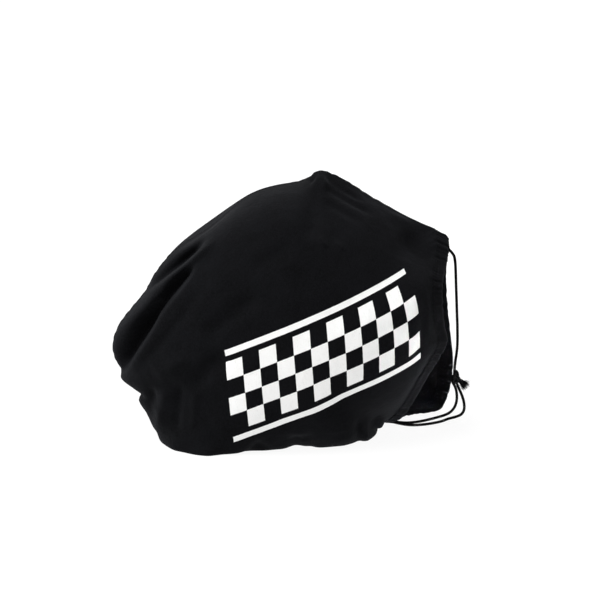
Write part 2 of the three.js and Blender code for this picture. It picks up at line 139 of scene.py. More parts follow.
def braided_tube(name, points, material, step=0.00035, around=20):
    """A round tube along a route. A point lies the radius away from the route, at an angle
    that turns with the frame carried along it, and stands up where one of the braid's eight
    strands passes over: where the waves of its two hands of helix meet."""
    line, at = even_route(points, step)
    way = unit(np.gradient(line, axis=0))
    side = np.cross(way, [0.31, 0.87, 0.37])
    side = unit(side - way * (side * way).sum(1, keepdims=True))
    lift = np.cross(way, side)
    turn = np.linspace(0, 2 * np.pi, around, endpoint=False)
    lay = 2 * np.pi * at / 0.0074
    right = np.cos(4 * (turn[None] + lay[:, None]))
    left = np.cos(4 * (turn[None] - lay[:, None]))
    over = np.maximum(right, left)
    radius = cord_radius * (0.93 + 0.09 * over)
    ends = np.minimum(at, at[-1] - at) / cord_radius
    radius = radius * np.sqrt(1 - np.clip(1 - ends - 0.2, 0, 1) ** 2)[:, None]
    grid = line[:, None] + radius[..., None] * (
        side[:, None] * np.cos(turn)[None, :, None] + lift[:, None] * np.sin(turn)[None, :, None])
    faces, rows, columns = ring_faces(len(line), around)
    corners = np.stack([columns / around, at[rows]], -1)
    first, last = np.arange(around)[::-1], np.arange(around) + (len(line) - 1) * around
    caps = np.stack([np.stack([k % around / around, np.full(around, d)], -1)
                     for k, d in ((first, at[0]), (last, at[-1]))])
    corners = np.concatenate([corners.reshape(-1, 2), caps.reshape(-1, 2)])
    piece = mesh_piece(name, grid, [*faces.tolist(), first.tolist(), last.tolist()],
                       material, corners)
    return piece, line


def new_material(name, color, roughness):
    """A material with its shader, and a way to add nodes to it."""
    material = bpy.data.materials.new(name)
    material.use_nodes = True
    nodes, links = material.node_tree.nodes, material.node_tree.links
    shader = nodes["Principled BSDF"]
    shader.inputs["Base Color"].default_value = (*color, 1)
    shader.inputs["Roughness"].default_value = roughness

    def add(kind, inputs=(), **settings):
        node = nodes.new(kind)
        for key, value in settings.items():
            setattr(node, key, value)
        for key, value in dict(inputs).items():
            if isinstance(value, bpy.types.NodeSocket):
                links.new(value, node.inputs[key])
            else:
                node.inputs[key].default_value = value
        return node

    return material, shader, add, links


cord_material, shader, add, links = new_material("braided_cord", (0.002, 0.002, 0.002), 0.7)
shader.inputs["Specular IOR Level"].default_value = 0.06
shader.inputs["Sheen Weight"].default_value = 0.01
shader.inputs["Sheen Roughness"].default_value = 0.45
place = add("ShaderNodeTexCoord").outputs["Object"]
fibre = add("ShaderNodeTexNoise", {"Vector": place, "Scale": 2600.0, "Detail": 3.0})
shade = add("ShaderNodeTexNoise", {"Vector": place, "Scale": 420.0, "Detail": 2.0})
tones = add("ShaderNodeMix", {0: shade.outputs["Fac"], 6: (0.0010, 0.0010, 0.0011, 1),
                              7: (0.0036, 0.0036, 0.0040, 1)}, data_type="RGBA")
links.new(tones.outputs[2], shader.inputs["Base Color"])
fuzz = add("ShaderNodeBump", {"Strength": 0.5, "Distance": 0.0002, "Height": fibre.outputs["Fac"]})
links.new(fuzz.outputs["Normal"], shader.inputs["Normal"])

# The knot: two loops and the tuck of an overhand knot, laid twice side by side, as the cord's
# two ends are tied in it together. Its two ends stick out as short tails.
loop = np.pi / 3 + 2 * np.pi * np.arange(1, 16) / 16
loops = np.stack([0.0015 * (np.sin(loop) + 2 * np.sin(2 * loop)), -0.0020 * np.sin(3 * loop),
                  0.0025 * (2 * np.cos(2 * loop) - np.cos(loop))], 1) + knot_place
knot_route = [*knot_tails[0][::-1], *loops, *knot_tails[1]]
knot, _ = braided_tube("overhand_knot", knot_route, cord_material)
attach(knot, "root")
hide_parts("cord_knot")
beside = loops * [1, 1, 0.96] + [0.0004, -0.0024, 0.0020]
second_loops, _ = braided_tube("overhand_knot_beside", beside, cord_material)
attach(second_loops, "root")

# The frayed ends of the two tails, where the braid has opened into loose filaments that
# spread and droop a little.
dice = np.random.default_rng(7)
filaments, filament_faces = [], []
filaments_per_tail = 260
for tail in knot_tails:
    end = np.array(tail[-1])
    way = unit(end - np.array(tail[-2]))
    for _ in range(filaments_per_tail):
        aim = unit(way + 0.42 * dice.normal(size=3))
        long = dice.uniform(0.0025, 0.0075)
        t = np.linspace(0, 1, 7)[:, None]
        root = end - 0.0015 * way + 0.0008 * dice.normal(size=3)
        droop = np.array([0, 0, -0.0016]) * dice.uniform(0.2, 1)
        hair = root + aim * long * t + droop * t ** 2 + 0.0004 * np.sin(5 * t) * dice.normal(size=3)
        wide = 0.00013 * (1 - 0.6 * t)
        across = unit(np.cross(aim, [0.2, 0.3, 0.9]))
        other = np.cross(aim, across)
        ring = np.stack([hair + wide * (across * np.cos(a) + other * np.sin(a))
                         for a in (0, 2 * np.pi / 3, 4 * np.pi / 3)], 1)
        faces, _, _ = ring_faces(7, 3)
        first = len(filaments) * 21
        filament_faces += [(f + first).tolist() for f in faces]
        filament_faces += [[first + 2, first + 1, first], [first + 18, first + 19, first + 20]]
        filaments.append(ring.reshape(-1, 3))
frays = mesh_piece("frayed_ends", np.concatenate(filaments), filament_faces, cord_material)
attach(frays, "root")

# The three strands. Each runs on a little way into the knot.
upper, line = braided_tube("upper_cord", [*upper_route, (0.1892, 0.0158, 0.0555)], cord_material)
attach(upper, "root")
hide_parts("upper_strand")
for name, node, route, top, length in (
        ("lower_cord_back", "lower_strand_back", lower_back_route, (0.1878, 0.0152, 0.0505), 0.135),
        ("lower_cord_front", "lower_strand_front", lower_front_route, (0.1906, 0.0166, 0.0502),
         0.148)):
    strand, line = braided_tube(name, [top, *route], cord_material)
    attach(strand, "root")
    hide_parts(node)

# The bag's cloth: two panels of soft black brushed cotton, sewn together round three sides
# with the seam turned in. It stands as it does over a helmet, round in the middle, with its
# lower side spread on the floor, a crease from the closed end and a pinched peak.
bag_length, bag_width, bag_height = 381.0, 250.0, 292.0
seam_skew = 0.13
hem_width = 18.0
middle_x, middle_z = 0.006 * bag_length, 0.428 * bag_height
# x as a share of the length, z as a share of the height, and the swell of the side there.
seam_rows = [
    (0.269, -0.024, 0.47), (0.244, -0.062, 0.45), (0.200, -0.056, 0.45), (0.140, -0.118, 0.45),
    (0.085, -0.072, 0.46), (0.034, 0.020, 0.50), (-0.025, -0.100, 0.46), (-0.085, -0.128, 0.45),
    (-0.120, -0.095, 0.45), (-0.186, -0.240, 0.41), (-0.240, -0.290, 0.36), (-0.300, -0.285, 0.34),
    (-0.350, -0.200, 0.35), (-0.365, -0.095, 0.38), (-0.376, 0.014, 0.42),
    (-0.392, 0.048, 0.44), (-0.411, 0.100, 0.46), (-0.429, 0.137, 0.50), (-0.420, 0.171, 0.50),
    (-0.445, 0.194, 0.50), (-0.478, 0.226, 0.50), (-0.477, 0.260, 0.50), (-0.486, 0.280, 0.50),
    (-0.499, 0.322, 0.50), (-0.499, 0.372, 0.50), (-0.482, 0.430, 0.50), (-0.451, 0.484, 0.50),
    (-0.406, 0.555, 0.50), (-0.382, 0.612, 0.50), (-0.351, 0.667, 0.50), (-0.310, 0.720, 0.50),
    (-0.221, 0.791, 0.50), (-0.133, 0.887, 0.50), (-0.088, 0.922, 0.50), (-0.035, 0.943, 0.52),
    (0.035, 0.960, 0.60), (0.066, 0.976, 0.70), (0.095, 1.001, 0.85), (0.135, 0.987, 0.95),
    (0.185, 0.951, 1.00), (0.256, 0.889, 1.00), (0.366, 0.810, 1.00),
]
# x, how far the edge stands off the seam's plane, z, and the hem's lean and flare in degrees.
front_mouth = [
    (0.474, 0.000, 0.724, 35, 0), (0.473, 0.045, 0.690, 34, 10), (0.465, 0.100, 0.647, 32, 20),
    (0.454, 0.165, 0.611, 31, 28), (0.446, 0.225, 0.573, 28, 33), (0.445, 0.268, 0.505, 14, 40),
    (0.450, 0.282, 0.437, 4, 43), (0.459, 0.280, 0.375, 2, 44), (0.437, 0.255, 0.305, 3, 44),
    (0.408, 0.214, 0.228, 3, 43), (0.379, 0.148, 0.135, 0, 40), (0.349, 0.082, 0.052, 4, 32),
    (0.328, 0.042, 0.020, 4, 18), (0.311, 0.000, 0.006, 0, 0),
]
back_mouth = [
    (0.474, 0.000, 0.724, 35, 0), (0.476, 0.045, 0.690, 34, 10), (0.477, 0.095, 0.630, 30, 20),
    (0.478, 0.155, 0.545, 26, 28), (0.489, 0.236, 0.410, 8, 38), (0.502, 0.252, 0.280, 0, 40),
    (0.509, 0.240, 0.190, 0, 42), (0.503, 0.222, 0.098, 4, 42), (0.483, 0.188, 0.026, 14, 42),
    (0.457, 0.146, 0.004, 24, 46), (0.379, 0.098, 0.004, 28, 46), (0.336, 0.050, 0.005, 18, 28),
    (0.311, 0.000, 0.006, 0, 0),
]
# Each fold from one place to another, how far out, its half width, its crispness, 2 for a
# soft roll and 1 for a crease, and its half width on the left of its way as a share of that
# on the right. x is a share of the length, z of the height, out of the width.
front_folds = [
    (-0.240, 0.770, -0.400, 0.590, -0.120, 0.018, 2.0, 0.60),
    (-0.205, 0.780, -0.340, 0.622, 0.030, 0.018, 1.6, 0.80),
    (-0.330, 0.620, -0.470, 0.430, 0.034, 0.026, 1.8, 0.80),
    (-0.262, 0.690, -0.370, 0.515, -0.100, 0.032, 2.0, 0.36),
    (-0.360, 0.530, -0.475, 0.275, -0.145, 0.044, 2.0, 0.30),
    (-0.262, 0.650, -0.360, 0.480, 0.014, 0.016, 1.3, 2.0),
    (-0.350, 0.490, -0.447, 0.300, 0.012, 0.016, 1.3, 2.0),
    (-0.235, 0.610, -0.400, 0.330, -0.012, 0.020, 1.8, 1.0),
    (-0.082, 0.600, -0.212, 0.468, -0.020, 0.040, 2.0, 0.7),
    (-0.171, 0.398, -0.255, 0.270, -0.022, 0.040, 2.0, 0.7),
    (-0.360, 0.290, -0.280, 0.380, 0.014, 0.030, 2.0, 1.0),
    (-0.335, 0.250, -0.375, 0.060, 0.022, 0.026, 1.7, 1.0),
    (-0.376, 0.235, -0.396, 0.070, -0.026, 0.024, 2.0, 0.8),
    (-0.292, 0.260, -0.310, 0.080, -0.018, 0.020, 1.8, 0.7),
    (-0.252, 0.250, -0.262, 0.100, 0.010, 0.016, 1.8, 1.0),
    (-0.130, 0.690, -0.310, 0.520, 0.006, 0.024, 2.0, 1.0),
    (0.020, 0.780, -0.090, 0.700, -0.010, 0.030, 2.0, 1.0),
    (0.085, 0.950, 0.070, 0.800, -0.016, 0.030, 2.0, 1.0),
    (0.058, 1.000, 0.080, 0.968, -0.080, 0.012, 1.8, 0.7),
    (0.090, 0.990, 0.115, 0.940, 0.030, 0.013, 1.6, 1.0),
    (0.112, 0.968, 0.215, 0.905, -0.014, 0.009, 1.5, 1.0),
    (0.118, 0.940, 0.240, 0.860, -0.014, 0.011, 1.5, 1.0),
    (0.110, 0.905, 0.205, 0.835, -0.010, 0.012, 1.6, 1.0),
    (0.105, 0.900, 0.150, 0.760, -0.012, 0.024, 2.0, 1.0),
    (0.090, 0.794, 0.112, 0.764, 0.011, 0.008, 1.6, 1.0),
    (0.136, 0.778, 0.158, 0.750, 0.011, 0.008, 1.6, 1.0),
    (0.300, 0.850, 0.370, 0.790, 0.014, 0.014, 1.6, 1.0),
    (0.330, 0.760, 0.430, 0.640, -0.026, 0.042, 2.0, 1.0),
    (0.230, 0.110, 0.232, -0.040, 0.012, 0.010, 1.2, 1.6),
    (0.202, 0.110, 0.210, -0.030, -0.022, 0.020, 2.0, 0.6),
    (0.262, 0.080, 0.306, -0.050, 0.056, 0.028, 2.0, 1.0),
    (0.150, 0.060, 0.175, -0.040, 0.008, 0.020, 1.8, 1.0),
    (0.060, 0.080, 0.075, -0.060, -0.016, 0.020, 1.7, 1.0),
    (0.030, 0.070, 0.025, -0.040, -0.030, 0.030, 2.0, 1.0),
    (-0.070, 0.050, -0.140, -0.050, -0.022, 0.018, 2.0, 2.0),
    (-0.340, 0.010, -0.190, -0.010, 0.032, 0.060, 2.0, 1.0),
    (0.425, 0.560, 0.440, 0.400, 0.010, 0.014, 1.8, 1.0),
    (0.395, 0.560, 0.370, 0.360, -0.016, 0.024, 2.0, 1.0),
]
back_folds = [
    (-0.200, 0.720, -0.440, 0.400, 0.028, 0.036, 1.9, 0.7),
    (-0.260, 0.620, -0.450, 0.290, -0.090, 0.040, 2.0, 0.45),
    (0.090, 0.920, 0.160, 0.600, -0.030, 0.040, 2.0, 0.7),
    (0.300, 0.720, 0.120, 0.450, -0.026, 0.040, 2.0, 0.7),
    (0.380, 0.250, 0.160, 0.340, -0.026, 0.040, 2.0, 0.7),
    (-0.235, 0.580, -0.430, 0.250, 0.012, 0.014, 1.3, 1.6),
    (-0.360, 0.260, -0.260, 0.120, 0.018, 0.022, 1.8, 1.0),
    (0.330, 0.600, 0.200, 0.330, 0.016, 0.022, 1.8, 1.0),
    (0.260, 0.140, 0.140, 0.060, 0.018, 0.018, 1.6, 1.0),
    (-0.060, 0.100, -0.160, 0.020, 0.016, 0.020, 1.8, 1.0),
    (0.130, 0.860, 0.230, 0.640, 0.012, 0.016, 1.6, 1.0),
    (0.030, 0.880, 0.010, 0.700, -0.014, 0.024, 2.0, 1.0),
]


def mouth_at(rows, side, s):
    """The mouth's edge at the places s, the way inward along the hem, and the way out of the
    cloth, which is square to the edge and to that way."""
    def place(t):
        x, off, z = (smooth_rows(rows, t)[:, :3] * [bag_length, bag_width, bag_height]).T
        return np.stack([x, seam_skew * x + side * off, z + 3], 1)
    lean, flare = np.radians(smooth_rows(rows, s)[:, 3:]).T
    along, rise = np.cos(lean) * np.cos(flare), np.sin(lean) * np.cos(flare)
    inward = unit(np.stack([-along, side * np.sin(flare) - seam_skew * along, rise], 1))
    last = len(rows) - 1
    tangent = place(np.minimum(s + 0.01, last)) - place(np.maximum(s - 0.01, 0))
    return place(s), inward, unit(side * np.cross(tangent, inward))


def mouth_places(rows, count):
    """Places along a mouth edge, from 1.3 mm off the seam's plane to 1.3 mm off it again."""
    last = len(rows) - 1
    s = np.linspace(0, last, 4001)
    off = smooth_rows(rows, s)[:, 1] * bag_width
    clear = s[off > 1.3]
    return np.linspace(clear[0], clear[-1], count)


def gathers(s, deep, side):
    """The small puckers that the drawcord gathers along the mouth: waves of two lengths along
    the edge, which come and go, and fade into the panel over about 20 mm."""
    wave = (0.55 * np.sin(11.3 * s + side) + 0.45 * np.sin(17.9 * s + 2 * side)
            + 0.35 * np.sin(29.1 * s))
    swell = 0.46 + 0.36 * np.sin(1.9 * s + 0.7 * side)
    return wave * swell * np.exp(-np.maximum(deep, 0) / 20)


def fold_height(folds, x, z):
    """How far the folds push the cloth out: each falls off across its line as an exponential
    of the distance raised to its crispness, and fades out at both ends."""
    height = np.zeros_like(x)
    for x0, z0, x1, z1, out, half, crisp, left in folds:
        start = np.array([x0 * bag_length, z0 * bag_height])
        way = np.array([x1 * bag_length, z1 * bag_height]) - start
        dx, dz = x - start[0], z - start[1]
        along = (dx * way[0] + dz * way[1]) / (way @ way)
        across = (dx * way[1] - dz * way[0]) / np.hypot(*way) / (half * bag_height)
        across = np.where(across < 0, across / left, across)
        ends = [np.clip((t + 0.15) / 0.35, 0, 1) for t in (along, 1 - along)]
        fade = np.prod([t * t * (3 - 2 * t) for t in ends], axis=0)
        soft = np.exp(-(np.sqrt(across ** 2 + 0.02) ** crisp))
        height = height + out * bag_width * soft * fade
    return height


def ripples(x, z, long, seed):
    """Soft unevenness of slack cloth: a sum of waves in all directions, of lengths round the
    given one, each bent by a slower wave."""
    pick = np.random.default_rng(seed)
    total = np.zeros_like(x)
    for _ in range(14):
        turn, phase = pick.uniform(0, np.pi), pick.uniform(0, 2 * np.pi)
        wave = 2 * np.pi / (long * pick.uniform(0.7, 1.5))
        bend = 0.9 * np.sin((x * np.sin(turn) + z * np.cos(turn)) * wave * 0.37 + 3 * phase)
        total = total + np.sin((x * np.cos(turn) + z * np.sin(turn)) * wave + phase + bend)
    return total / np.sqrt(14)


def blurred(rings, width):
    """Each ring of numbers smoothed round the ring by a bell curve of that many columns: its
    waves shrink by the exponential of minus half the square of width times wave number."""
    wave = 2 * np.pi * np.fft.rfftfreq(rings.shape[1])
    return np.fft.irfft(np.fft.rfft(rings) * np.exp(-(width * wave) ** 2 / 2), rings.shape[1])


def panel_points(rows, folds, side, rings, seam_columns, mouth_columns):
    """The outer face of one panel. A ring is the panel's edge drawn in toward the middle,
    evened out and eased toward an oval, and it stands out from the edge by one less the reach
    raised to a power, all raised to the swell. The folds, taken where the evened-out edge
    would put the point, push it out."""
    ends, ways, _ = mouth_at(rows, side, np.array([len(rows) - 1.0, 0.0]))
    corners = (ends + ways * (hem_width + 0.3)) / [bag_length, 1, bag_height]
    seam = [(corners[0, 0], corners[0, 2], 0.55), *seam_rows, (corners[1, 0], corners[1, 2], 1.0)]
    at = smooth_rows(seam, np.linspace(0, len(seam) - 1, seam_columns))
    x = at[:, 0] * bag_length
    skew = unit(np.array([-seam_skew, 1, 0]))
    seam_edge = np.stack([x, seam_skew * x, at[:, 1] * bag_height], 1) + side * 0.06 * skew
    s = mouth_places(rows, mouth_columns)
    mouth_edge, inward, out = mouth_at(rows, side, s)
    mouth_edge = mouth_edge + inward * (hem_width + 0.3) + out * 0.75
    edge = np.concatenate([seam_edge, mouth_edge])
    swell = np.r_[at[:, 2], np.ones(mouth_columns)]
    reach = np.sin(np.pi / 2 * np.arange(rings + 1) / rings)[:, None]
    middle = np.array([middle_x, side * bag_width / 2, middle_z])
    to = edge - middle
    far = np.hypot(to[:, 0], to[:, 2])
    way = np.stack([to[:, 0], to[:, 2]]) / far
    even_way = blurred(way, 12)
    way_x, way_z = even_way[:, None] + (way - even_way)[:, None] * reach ** 6
    way_x, way_z = way_x / np.hypot(way_x, way_z), way_z / np.hypot(way_x, way_z)
    oval = 1 / np.hypot(way_x / (0.5 * bag_length), way_z / (0.56 * bag_height))
    even = blurred(far[None], 12)
    plain = reach * (oval + (even - oval) * reach ** 3)
    spread = plain + (far - even) * reach ** 15
    rise = (1 - reach ** 2.4) ** swell
    bulge = blurred(edge[:, 1] + (middle[1] - edge[:, 1]) * rise, 16 * (1 - reach ** 2))
    grid = np.stack([middle_x + way_x * spread, bulge, middle_z + way_z * spread], -1)
    gx, gz = grid[..., 0], grid[..., 2]
    slack = 0.22 + 0.5 * np.clip((60 - gz) / 60, 0, 1) + 0.6 * np.clip((-gx - 60) / 90, 0, 1)
    push = fold_height(folds, middle_x + way_x * plain, middle_z + way_z * plain)
    push = push * (1 - reach ** 16)
    unevenness = 1.1 * ripples(gx, gz, 46, 3 + side) + 0.5 * ripples(gx, gz, 19, 8 + side)
    push = push + slack * unevenness * (1 - reach ** 8)
    outward = unit((grid - [middle_x, 0, middle_z])
                   / [4 * bag_length ** 2, bag_width ** 2, 4 * bag_height ** 2])
    grid = grid + outward * push[..., None]
    last = len(rows) - 1
    hold = np.clip(np.minimum(s, last - s) / 3, 0, 1)
    hold = hold * hold * (3 - 2 * hold)
    on = mouth_edge + inward * (np.linalg.norm(to[seam_columns:], axis=1) * (1 - reach))[..., None]
    share = (hold * reach ** 14)[..., None]
    mouth = grid[:, seam_columns:]
    puckers = out * gathers(s, 0, side)[:, None]
    grid[:, seam_columns:] = mouth + (on - mouth) * share + puckers * (reach ** 36)[..., None]
    return grid, np.arctan2(way_z, way_x)


def on_floor(z):
    """The cloth bends softly down to the floor and lies flat on it."""
    return np.where(z <= -8, 0, np.where(z >= 8, z, (z + 8) ** 2 / 32))


def seam_groove(grid, columns):
    """The seam turned in: the last few millimetres of the cloth before it roll inward, and
    pucker a little where the thread draws them up. The floor flattens the cloth. It goes on as
    the seam's allowance, 7 mm straight inward, and the two allowances lie face to face."""
    steps = np.linalg.norm(np.diff(grid[:, :columns], axis=0), axis=2)
    left = np.concatenate([np.cumsum(steps[::-1], axis=0)[::-1], np.zeros((1, columns))])
    line = grid[-1, :columns]
    run = np.r_[0, np.cumsum(np.linalg.norm(np.diff(line, axis=0), axis=1))]
    way = unit(np.gradient(line, axis=0))
    inner = unit(np.cross(way, [-seam_skew, 1, 0]))
    inner = inner * np.sign((inner * ([middle_x, 0, middle_z] - line)).sum(1))[:, None]
    ends = np.clip(np.minimum(run, run[-1] - run) / 25, 0, 1)
    depth = 1.7 * np.clip(1 - left / 2.6, 0, 1) ** 2 - 0.9 * np.exp(-(left / 6) ** 2)
    pucker = (0.34 * np.sin(run * 0.47) + 0.26 * np.sin(run * 0.71 + 1.3 * np.sin(run * 0.06)))
    depth = depth + pucker * np.exp(-left / 8) * ends
    grid[:, :columns] += inner * depth[..., None]
    grid[..., 2] = on_floor(grid[..., 2])
    turned_in = np.repeat(grid[-1:], 4, axis=0)
    turned_in[:, :columns] += inner * np.linspace(1.5, 7, 4)[:, None, None] * ends[:, None]
    return np.concatenate([grid, turned_in])


def cloth_map(grid, turn):
    """The panel laid out flat from its middle: each point as far out as it is along the
    cloth, in the direction in which it lies from the middle. In metres."""
    turn = np.concatenate([turn, np.repeat(turn[-1:], len(grid) - len(turn), axis=0)])
    steps = np.linalg.norm(np.diff(grid, axis=0), axis=2)
    out = np.concatenate([np.zeros((1, grid.shape[1])), np.cumsum(steps, axis=0)])
    return np.stack([out * np.cos(turn), out * np.sin(turn)], -1) / 1000


def cloth_material(name, printed):
    """Black brushed cotton: near-black in soft patches, with a nap that catches the light at
    grazing angles, a fine plain weave, and on the front panel a white print in the cloth."""
    material, shader, add, links = new_material(name, (0.012, 0.012, 0.014), 0.95)
    shader.inputs["Specular IOR Level"].default_value = 0.03
    shader.inputs["Sheen Weight"].default_value = 0.022
    shader.inputs["Sheen Roughness"].default_value = 0.45
    shader.inputs["Sheen Tint"].default_value = (0.80, 0.84, 0.95, 1)
    coordinates = add("ShaderNodeTexCoord")
    place = coordinates.outputs["Object"]
    flat = add("ShaderNodeUVMap", uv_map="cloth_map").outputs["UV"]
    patches = add("ShaderNodeTexNoise", {"Vector": place, "Scale": 26.0, "Detail": 3.0,
                                         "Roughness": 0.55})
    patches = add("ShaderNodeMapRange", {"Value": patches.outputs["Fac"], "From Min": 0.34,
                                         "From Max": 0.66}).outputs["Result"]
    nap = add("ShaderNodeTexNoise", {"Vector": place, "Scale": 900.0, "Detail": 3.0,
                                     "Roughness": 0.65})
    black = add("ShaderNodeMix", {0: patches, 6: (0.0016, 0.0016, 0.0017, 1),
                                  7: (0.0034, 0.0035, 0.0041, 1)}, data_type="RGBA")
    speck = add("ShaderNodeMapRange", {"Value": nap.outputs["Fac"], "From Min": 0.3,
                                       "From Max": 0.72}).outputs["Result"]
    cloth = add("ShaderNodeMix", {0: speck, 6: black.outputs[2], 7: (0.0064, 0.0066, 0.0077, 1)},
                data_type="RGBA")
    color = cloth.outputs[2]

    def sum_of(kind, a, b, c=0.0):
        return add("ShaderNodeMath", {0: a, 1: b, 2: c}, operation=kind).outputs[0]

    # The weave: warp and weft threads, 0.5 mm apart, each up where the other is down.
    split = add("ShaderNodeSeparateXYZ", {"Vector": flat})
    warp = sum_of("SINE", sum_of("MULTIPLY", split.outputs["X"], 2 * np.pi / 0.0010), 0.0)
    weft = sum_of("SINE", sum_of("MULTIPLY", split.outputs["Y"], 2 * np.pi / 0.0010), 0.0)
    weave = sum_of("MULTIPLY", warp, weft)
    relief = sum_of("MULTIPLY_ADD", weave, 0.16, nap.outputs["Fac"])
    crumple = add("ShaderNodeTexNoise", {"Vector": place, "Scale": 62.0, "Detail": 4.0,
                                         "Roughness": 0.6, "Distortion": 0.4})
    wide = add("ShaderNodeBump", {"Strength": 0.35, "Distance": 0.004,
                                  "Height": crumple.outputs["Fac"]})
    fine = add("ShaderNodeBump", {"Strength": 0.55, "Distance": 0.00028, "Height": relief,
                                  "Normal": wide.outputs["Normal"]})
    links.new(fine.outputs["Normal"], shader.inputs["Normal"])
    if printed:
        # The print: a chequered band between two lines, which rises to the right.
        ragged = add("ShaderNodeTexNoise", {"Vector": flat, "Scale": 1500.0, "Detail": 2.0})
        stray = add("ShaderNodeVectorMath", {0: ragged.outputs["Color"], 1: (0.5, 0.5, 0.5)},
                    operation="SUBTRACT").outputs[0]
        stray = add("ShaderNodeVectorMath", {0: stray, 3: 0.0007}, operation="SCALE").outputs[0]
        inked = add("ShaderNodeVectorMath", {0: flat, 1: stray}, operation="ADD").outputs[0]
        turned = add("ShaderNodeMapping", {"Vector": inked, "Location": (0.0430, -0.0150, 0),
                                           "Rotation": (0, 0, np.radians(22.0))},
                     vector_type="TEXTURE").outputs["Vector"]
        split = add("ShaderNodeSeparateXYZ", {"Vector": turned})
        square = 0.019
        across = sum_of("ABSOLUTE", split.outputs["Y"], 0.0)
        slanted = sum_of("MULTIPLY_ADD", split.outputs["Y"], -0.32, split.outputs["X"])
        inside = sum_of("LESS_THAN", sum_of("ABSOLUTE", slanted, 0.0), 6 * square)
        column = sum_of("FLOOR", sum_of("DIVIDE", slanted, square), 0.0)
        row = sum_of("FLOOR", sum_of("DIVIDE", split.outputs["Y"], square), 0.0)
        chequer = sum_of("PINGPONG", sum_of("ADD", column, row), 1.0)
        band = sum_of("LESS_THAN", across, 2 * square)
        line = sum_of("MULTIPLY", sum_of("GREATER_THAN", across, 2 * square + 0.006),
                      sum_of("LESS_THAN", across, 2 * square + 0.0125))
        ink = sum_of("MULTIPLY", inside, sum_of("MAXIMUM", sum_of("MULTIPLY", chequer, band), line))
        worn = add("ShaderNodeTexNoise", {"Vector": flat, "Scale": 2100.0, "Detail": 2.0})
        worn = sum_of("LESS_THAN", worn.outputs["Fac"], 0.71)
        ink = sum_of("MULTIPLY", ink, worn)
        white = add("ShaderNodeMix", {0: crumple.outputs["Fac"], 6: (0.80, 0.80, 0.79, 1),
                                      7: (0.90, 0.90, 0.89, 1)}, data_type="RGBA")
        color = add("ShaderNodeMix", {0: ink, 6: color, 7: white.outputs[2]},
                    data_type="RGBA").outputs[2]
        rough = sum_of("MULTIPLY_ADD", ink, -0.33, 0.95)
        links.new(rough, shader.inputs["Roughness"])
    links.new(color, shader.inputs["Base Color"])
    return material


def panel_piece(name, node, rows, folds, side, material):
    """One panel as a wall of cloth, 1 mm thick inward from its outer face."""
    rings, seam_columns, mouth_columns = 104, 296, 110
    grid, turn = panel_points(rows, folds, side, rings, seam_columns, mouth_columns)
    grid = seam_groove(grid, seam_columns)
    flat = cloth_map(grid, turn)
    columns = grid.shape[1]
    points = np.concatenate([grid[0, :1], grid[1:].reshape(-1, 3)]) / 1000
    faces, r4, c4 = ring_faces(len(grid) - 1, columns)
    faces = faces + 1
    uv = flat[1:][r4, c4 % columns]
    fan = np.stack([np.zeros(columns, int), (np.arange(columns) + 1) % columns + 1,
                    np.arange(columns) + 1], 1)
    fan_uv = np.stack([np.zeros((columns, 2)), flat[1][(np.arange(columns) + 1) % columns],
                       flat[1]], 1)
    if side > 0:
        faces, uv = faces[:, ::-1], uv[:, ::-1]
        fan, fan_uv = fan[:, ::-1], fan_uv[:, ::-1]
    corners = np.concatenate([uv.reshape(-1, 2), fan_uv.reshape(-1, 2)])
    piece = mesh_piece(name, points, [*faces.tolist(), *fan.tolist()], material, corners)
    wall = piece.modifiers.new("wall", "SOLIDIFY")
    wall.thickness = 0.001
    wall.offset = -1
    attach(piece, "root")
    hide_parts(node)
    return piece


front_cloth = cloth_material("printed_cotton", True)
plain_cloth = cloth_material("plain_cotton", False)
front = panel_piece("front_cloth", "front_panel", front_mouth, front_folds, -1, front_cloth)
back = panel_piece("back_cloth", "back_panel", back_mouth, back_folds, 1, plain_cloth)

# The mouth's hem on each panel: the cloth folded over to the inside and stitched down, so
# that it makes a channel for the drawcord. It bulges over the cord and is flat at the
# stitches, and it puckers where the cord draws it up.


def hem_piece(name, node, rows, side, material):
    """A flat sleeve along the mouth's edge. Its section is a flattened ring, thickest over
    the cord: half its height is 0.95 mm and 1.8 mm more at the cord, as a bell curve."""
    count, around = 260, 30
    s = mouth_places(rows, count)
    edge, inward, out = mouth_at(rows, side, s)
    turn = np.linspace(0, 2 * np.pi, around, endpoint=False)
    across = (hem_width + 0.4) / 2 * np.sign(np.cos(turn)) * np.abs(np.cos(turn)) ** 0.8
    half = 0.95 + 1.6 * np.exp(-((across + 3.8) / 3.6) ** 2)
    high = half * np.sign(np.sin(turn)) * np.abs(np.sin(turn)) ** 0.55
    deep = hem_width / 2 - across
    wave = gathers(s[:, None], 0 * deep[None], side)
    run = np.r_[0, np.cumsum(np.linalg.norm(np.diff(edge, axis=0), axis=1))]
    fine = 0.22 * np.sin(1.5 * run[:, None] + 0.25 * across) * np.exp(-((across - 5) / 4) ** 2)

    def layer(shrink):
        a = across * (1 - shrink / (hem_width / 2))
        h = high * (1 - shrink / half)
        base = edge[:, None] + inward[:, None] * (hem_width / 2 + 0.2 + a)[None, :, None]
        return base + out[:, None] * (h[None] + wave + fine)[..., None]

    outer, inner = layer(0.0), layer(0.6)
    loop = np.concatenate([outer, inner[::-1], outer[:1]])
    loop[..., 2] = np.maximum(loop[..., 2], 0.25)
    rows_in, columns = len(loop) - 1, around
    faces, r4, c4 = ring_faces(len(loop), around)
    faces = np.where(faces >= rows_in * columns, faces - rows_in * columns, faces)
    lengths = np.r_[run, run[::-1], run[0]] / 1000
    uv = np.stack([lengths[r4], c4 / around * 2 * hem_width / 1000], -1)
    if side < 0:
        faces, uv = faces[:, ::-1], uv[:, ::-1]
    piece = mesh_piece(name, loop[:-1] / 1000, faces.tolist(), material, uv)
    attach(piece, "root")
    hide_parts(node)
    return piece, (s, edge, inward, out)


